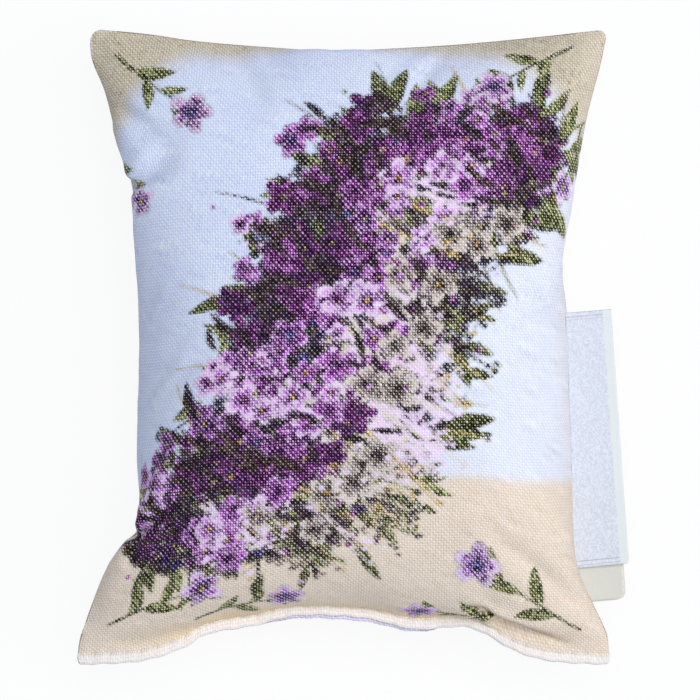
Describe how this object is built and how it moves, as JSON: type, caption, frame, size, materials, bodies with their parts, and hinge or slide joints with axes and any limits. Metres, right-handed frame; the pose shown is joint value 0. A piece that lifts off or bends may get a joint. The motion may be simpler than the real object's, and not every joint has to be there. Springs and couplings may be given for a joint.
{
  "type": "sachet",
  "caption": "Small stuffed cloth sachet with turned seams, drawn-in sides, a topstitched bottom lip and two folded ribbon labels in its right side seam.",
  "frame": {"origin": "on the flat spot under the back panel, where the sachet rests on a table, below the middle between its four ears", "axes": "+Z out of the front panel, +Y towards the top edge, +X towards the side seam that holds the labels"},
  "size_m": [0.1108, 0.127, 0.0421],
  "materials": {
    "printed_front": "matte",
    "printed_back": "matte",
    "dried_buds": "matte",
    "sewing_thread": "matte",
    "woven_ribbon": "satin",
    "content_ribbon": "satin"
  },
  "bodies": {
    "pillow": {"front_panel": "printed_front", "back_panel": "printed_back", "lavender_fill": "dried_buds", "seam_needle_thread": "sewing_thread", "seam_bobbin_thread": "sewing_thread", "closing_needle_thread": "sewing_thread", "closing_bobbin_thread": "sewing_thread"},
    "woven_flap": {"woven_label": "woven_ribbon"},
    "content_flap": {"content_label": "content_ribbon"}
  },
  "joints": [
    {"name": "woven_label_hinge", "type": "hinge", "parent": "pillow", "child": "woven_flap", "pos_m": [0.04397, 0.0068, 0.02048], "axis": [0.0441, -0.999, 0], "range_deg": [0, 80], "stiffness_Nm_per_rad": 0.0001},
    {"name": "content_label_hinge", "type": "hinge", "parent": "pillow", "child": "content_flap", "pos_m": [0.04455, -0.0062, 0.01953], "axis": [-0.0441, 0.999, 0], "range_deg": [0, 60], "stiffness_Nm_per_rad": 0.0001}
  ]
}
